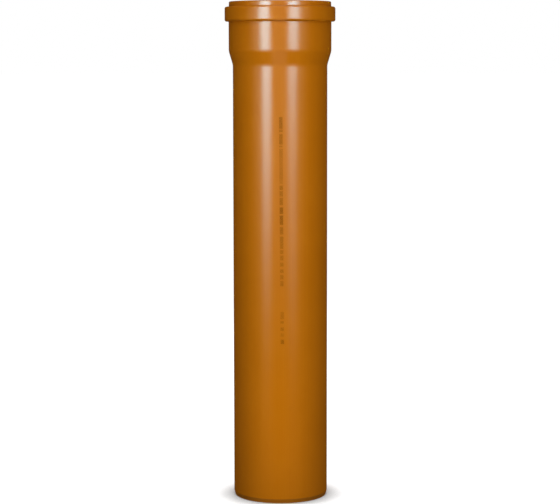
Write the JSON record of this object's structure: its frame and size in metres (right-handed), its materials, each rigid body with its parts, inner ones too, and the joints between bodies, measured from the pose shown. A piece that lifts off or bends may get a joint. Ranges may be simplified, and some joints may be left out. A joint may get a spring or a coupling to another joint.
{
  "type": "polypropylene sewer pipe",
  "caption": "Straight orange-brown plastic drain pipe: bevelled spigot below, belled socket above with a raised bead whose groove holds a rubber lip seal.",
  "frame": {"origin": "centre of the spigot's cut end, which the pipe stands on", "axes": "+Z along the pipe's axis, from the spigot up to the socket's mouth; the pipe is round, so +X and +Y are free"},
  "size_m": [0.1284, 0.1284, 0.58],
  "materials": {
    "pipe_plastic": "satin",
    "seal_rubber": "matte"
  },
  "bodies": {
    "root": {"pipe": "pipe_plastic", "sealing_ring": "seal_rubber"}
  },
  "joints": []
}
